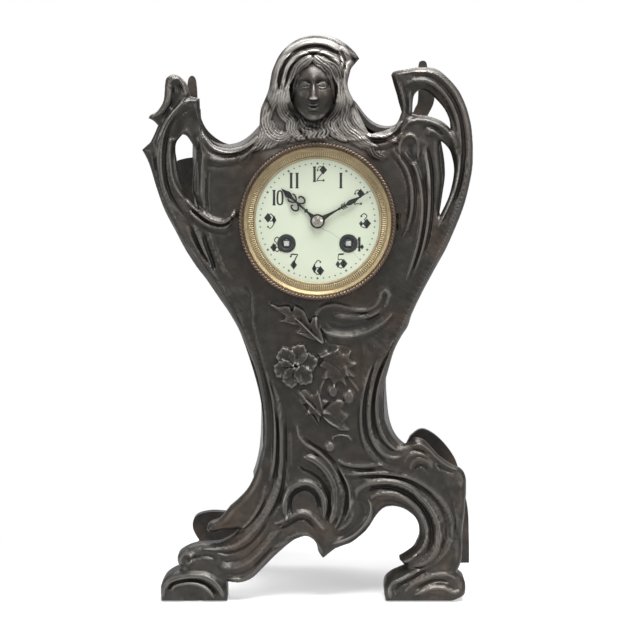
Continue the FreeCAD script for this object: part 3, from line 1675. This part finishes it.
REAR_PIXELS = [
    [(180, 590), (190, 578), (184, 566), (184, 553), (204, 544), (222, 545)],
    [(246, 528), (259, 472), (262, 430), (250, 375), (222, 303), (190, 240), (172, 195), (166.5, 171)],
    [(169, 165), (177, 163)],
    [(186, 162)],
    [(185, 132), (177.5, 88)],
    [(182.7, 74.5), (188, 88)],
    [
        (190, 112), (200, 134), (222, 148), (246, 143), (262, 126), (284, 97), (318, 86), (352, 97),
        (374, 122), (398, 130), (416, 124),
    ],
    [(425.5, 100), (425.8, 66)],
    [(430.5, 58.4), (435.5, 66)],
    [(443, 98), (434, 121)],
    [(451, 150), (452.5, 195), (440, 255), (405, 337), (390, 385), (388, 425), (394, 452), (411, 472)],
    [
        (419, 459), (431, 453.3), (447.3, 462.7), (462.4, 481), (469.3, 498.3), (478.6, 537), (481, 570),
        (482, 612),
    ],
    [(452, 612)],
    [
        (446, 570), (430, 540), (404, 524), (378, 532), (350, 548), (318, 556), (280, 553), (255, 568),
        (238, 612),
    ],
    [(181, 612)],
]
ROOF_PIXELS = [
    (200, 108), (203, 128), (212, 142), (228, 148), (244, 144), (262, 126), (284, 101), (318, 90), (352, 101),
    (372, 124), (390, 128), (402, 112),
]
LEFT_PANEL_PIXELS = [
    (200, 109), (201, 160), (202, 205), (215, 262), (238, 315), (258, 370), (267, 410), (268, 445),
    (266, 475), (260, 500),
]
RIGHT_PANEL_PIXELS = [
    (403, 113), (418, 138), (427, 170), (428, 215), (420, 262), (400, 312), (386, 355), (379, 395),
    (380, 425), (384, 450), (394, 468), (412, 480), (436, 496), (452, 512),
]
HEAD_PIXELS = (315, 80)
FACE_PIXELS = (314, 95)
TIE_PIXELS = ((216, 175), (414, 175), (267, 350), (371, 350))
RELIEF_PIXELS = [
    (
        7,
        [
            (190, 100), (171, 116), (161, 140), (161, 175), (178, 222), (212, 278), (245, 330), (262, 375),
            (270, 420), (267, 455), (254, 486),
        ],
    ),
    (
        8,
        [
            (425, 78), (450, 95), (462, 125), (463, 165), (448, 215), (418, 272), (396, 325), (378, 368),
            (372, 408), (380, 440), (404, 450),
        ],
    ),
    (7, [(362, 506), (362, 490), (384, 482), (410, 492), (430, 512), (436, 538)]),
    (8, [(404, 452), (432, 468), (452, 500), (453, 540), (438, 568), (404, 586)]),
    (8, [(274, 380), (282, 415), (284, 450), (280, 490), (262, 524), (240, 546), (212, 553), (186, 560)]),
    (5, [(172, 588), (186, 579), (203, 584), (216, 598)]),
    (6, [(290, 524), (284, 502), (298, 484), (318, 488), (326, 510)]),
    (8, [(298, 456), (322, 468), (336, 494), (332, 524)]),
    (6, [(324, 320), (330, 308), (350, 308), (368, 308), (384, 292)]),
    (9, [(286, 96), (268, 118), (246, 146)]),
    (9, [(346, 98), (362, 122), (386, 148)]),
    (9, [(270, 305), (288, 318), (320, 342)]),
]
PETALS = 5
PETAL_SHARE = 0.7
PETAL_RING_SHARE = 0.8
HEAD_SHARE = 0.1
HEAD_SIZE_SHARES = (0.7, 0.7, 0.74)
MASK_SIZE_SHARES = (0.4, 0.7, 0.56)
MASK_AHEAD_SHARE = 0.3
SKY_SHARE = 1.1
FLOWER_PIXELS = (296, 366)
FLOWER_SHARES = (0.028, 0.026)
RELIEF_WIDTH_SHARE = 1 / 420


def side_profile(front, back, relief):
    """A solid as wide as the case, between a back plane and the flared front face moved by a relief."""
    steps = 6
    top = mm.case_height * SKY_SHARE
    high = FLARE_HEIGHT_SHARE * mm.case_height
    curve = [(front - flare(high * step / steps) - relief, high * step / steps) for step in range(steps + 1)]
    edges = []
    spline = Part.BSplineCurve()
    spline.interpolate([Vector(-mm.case_height, y, z) for y, z in curve])
    edges.append(spline.toShape())
    corners = [curve[-1], (front - relief, top), (back, top), (back, 0), curve[0]]
    for (y0, z0), (y1, z1) in zip(corners, corners[1:]):
        edges.append(Part.makeLine(Vector(-mm.case_height, y0, z0), Vector(-mm.case_height, y1, z1)))
    return Part.Face(Part.Wire(edges)).extrude(Vector(2 * mm.case_height, 0, 0))


def ribbon(width, pixels):
    """A raised band along a curve, narrowing towards both ends."""
    curve = Part.BSplineCurve()
    curve.interpolate([Vector(*seen(*pixel), 0) for pixel in pixels])
    steps = 4 * len(pixels)
    left, right = [], []
    for step in range(steps + 1):
        along = step / steps
        at = curve.FirstParameter + (curve.LastParameter - curve.FirstParameter) * along
        here = curve.value(at)
        run = curve.tangent(at)[0]
        half = width * RELIEF_WIDTH_SHARE * mm.case_height / 2 * (0.35 + 0.65 * math.sin(math.pi * along))
        left.append((here.x - run.y * half, here.y + run.x * half))
        right.append((here.x + run.y * half, here.y - run.x * half))
    return joined([left[1:], [right[-1]], right[::-1][1:], [left[0]]])


def ball(place, y, across, deep, high):
    """An ellipsoid with three half sizes."""
    matrix = FreeCAD.Matrix()
    matrix.scale(Vector(across, deep, high))
    matrix.move(Vector(place[0], y, place[1]))
    return Part.makeSphere(1).transformGeometry(matrix)


def case_front():
    """The front casting: its outline flared at the feet, the raised bands, the flower and the hooded head."""
    front, back = mm.front_face, mm.front_inside
    reach = mm.mask_relief + mm.foot_flare
    push = Vector(0, back - front + reach, 0)
    lift = Vector(0, front - reach, 0)
    base = traced(FRONT_PIXELS)
    base.translate(lift)
    shape = base.extrude(push).common(side_profile(front, back, 0))
    raised = [ribbon(width, pixels) for width, pixels in RELIEF_PIXELS]
    flower_x, flower_z = seen(*FLOWER_PIXELS)
    ring, petal = (share * mm.case_height for share in FLOWER_SHARES)
    solids = []
    for face in raised:
        face.translate(lift)
        solids.append(face.extrude(Vector(0, reach + mm.overrun, 0)))
    for number in range(PETALS):
        x, z = polar(flower_x, flower_z, ring * PETAL_RING_SHARE, 2 * math.pi * number / PETALS)
        solids.append(rod(petal * PETAL_SHARE, front - reach, front + mm.overrun, x, z))
    layer = side_profile(front, back, mm.scroll_relief)
    for solid in solids:
        shape = shape.fuse(solid.common(layer))
    head_size = mm.case_height * HEAD_SHARE
    across, ahead, up = HEAD_SIZE_SHARES
    head = ball(seen(*HEAD_PIXELS), front, head_size * across, mm.mask_relief * ahead, head_size * up)
    across, ahead, up = MASK_SIZE_SHARES
    mask_y = front - mm.mask_relief * MASK_AHEAD_SHARE
    mask = ball(seen(*FACE_PIXELS), mask_y, head_size * across, mm.mask_relief * ahead, head_size * up)
    low_half = brick(
        -mm.case_height, mm.case_height, front - 2 * mm.mask_relief, back, 0, mm.case_height * 2
    )
    for lump in (head, mask):
        shape = shape.fuse(lump.common(low_half))
    tools = [
        rod(mm.dial_opening_radius, front - reach, back + mm.overrun),
        rod(mm.bezel_outer_radius + mm.overrun, front - reach, front),
    ]
    for pixels in (LEFT_LOOP_PIXELS, UPPER_LOOP_PIXELS, LOWER_LOOP_PIXELS):
        hole = traced(pixels)
        hole.translate(lift)
        tools.append(hole.extrude(push + Vector(0, mm.overrun, 0)))
    for tool in tools:
        shape = shape.cut(tool)
    for pixel in TIE_PIXELS:
        x, z = seen(*pixel)
        boss = rod(mm.tie_boss_radius, back - mm.overrun, back + mm.tie_boss_length, x, z)
        hole = rod(
            mm.tie_screw_radius,
            back + mm.tie_boss_length - mm.tie_thread_length,
            back + mm.tie_boss_length + mm.overrun,
            x,
            z,
        )
        shape = shape.fuse(boss).cut(hole)
    return shape


def case_back():
    """The rear casting: two slim posts, a round opening for the movement and two legs."""
    shape = traced(REAR_PIXELS)
    shape.translate(Vector(0, mm.rear_inside, 0))
    shape = shape.extrude(Vector(0, mm.casting_thickness + mm.rear_flare, 0))
    high = FLARE_HEIGHT_SHARE * mm.case_height / 2
    slope = [
        (mm.rear_inside, 0),
        (mm.rear_face + mm.rear_flare, 0),
        (mm.rear_face, high),
        (mm.rear_face, mm.case_height),
        (mm.rear_inside, mm.case_height),
    ]
    outline = Part.makePolygon([Vector(-mm.case_height, y, z) for y, z in slope + slope[:1]])
    shape = shape.common(Part.Face(outline).extrude(Vector(2 * mm.case_height, 0, 0)))
    shape = shape.cut(rod(mm.rear_opening_radius, mm.rear_inside - mm.overrun, mm.rear_face + mm.overrun))
    for pixel in TIE_PIXELS:
        x, z = seen(*pixel)
        shape = shape.cut(
            rod(
                mm.tie_screw_radius + mm.fit_clearance,
                mm.rear_inside - mm.overrun,
                mm.rear_face + mm.overrun,
                x,
                z,
            )
        )
    return shape


def band(pixels, side):
    """A wall between the castings along a curve, spreading a little towards the back."""
    line = [seen(*pixel) for pixel in pixels]
    inner = []
    for at, (x, z) in enumerate(line):
        before, after = line[max(at - 1, 0)], line[min(at + 1, len(line) - 1)]
        run_x, run_z = after[0] - before[0], after[1] - before[1]
        length = math.hypot(run_x, run_z)
        inner.append((x - side * run_z / length * mm.panel_wall, z + side * run_x / length * mm.panel_wall))
    sections = []
    for y, spread in ((mm.front_inside, 1.0), (mm.rear_inside, REAR_SPREAD_SHARE)):
        outer_line, inner_line = (
            [(mm.dial_x + (x - mm.dial_x) * spread, z) for x, z in points] for points in (line, inner)
        )
        edges = [
            smooth(outer_line, y),
            smooth([outer_line[-1], inner_line[-1]], y),
            smooth(inner_line[::-1], y),
            smooth([inner_line[0], outer_line[0]], y),
        ]
        sections.append(Part.Wire(edges))
    return Part.makeLoft(sections, True, True)


shaped("case_front", case_front())
shaped("case_back", case_back())
left_panel = band(LEFT_PANEL_PIXELS, -1)
right_panel = band(RIGHT_PANEL_PIXELS, 1)
roof = band(ROOF_PIXELS, -1)
roof = max(roof.cut([left_panel, right_panel]).Solids, key=lambda solid: solid.Volume)
shaped("side_panel_left", left_panel)
shaped("side_panel_right", right_panel)
shaped("case_roof", roof)
tie_screws = []
for pixel in TIE_PIXELS:
    x, z = seen(*pixel)
    end = mm.front_inside + mm.tie_boss_length - mm.tie_thread_length + mm.overrun
    screw = rod(mm.tie_screw_radius, end, mm.rear_face + mm.tie_head_height, x, z)
    head = rod(mm.tie_head_radius, mm.rear_face, mm.rear_face + mm.tie_head_height, x, z)
    tie_screws.append(screw.fuse(head))
shaped("case_screws", Part.makeCompound(tie_screws))

doc.recompute()
os.makedirs("parts", exist_ok=True)
for feature in doc.Objects:
    if "Invalid" in feature.State or "Error" in feature.State:
        raise RuntimeError(f"{feature.Label} could not be made: {feature.State}")
for feature in pieces:
    if feature.Shape.isNull() or not feature.Shape.isValid():
        raise RuntimeError(f"{feature.Label} has no valid shape")
for feature in pieces:
    feature.Shape.exportStep(f"parts/{feature.Label}.step")
    print(feature.Label, len(feature.Shape.Solids), round(feature.Shape.Volume))
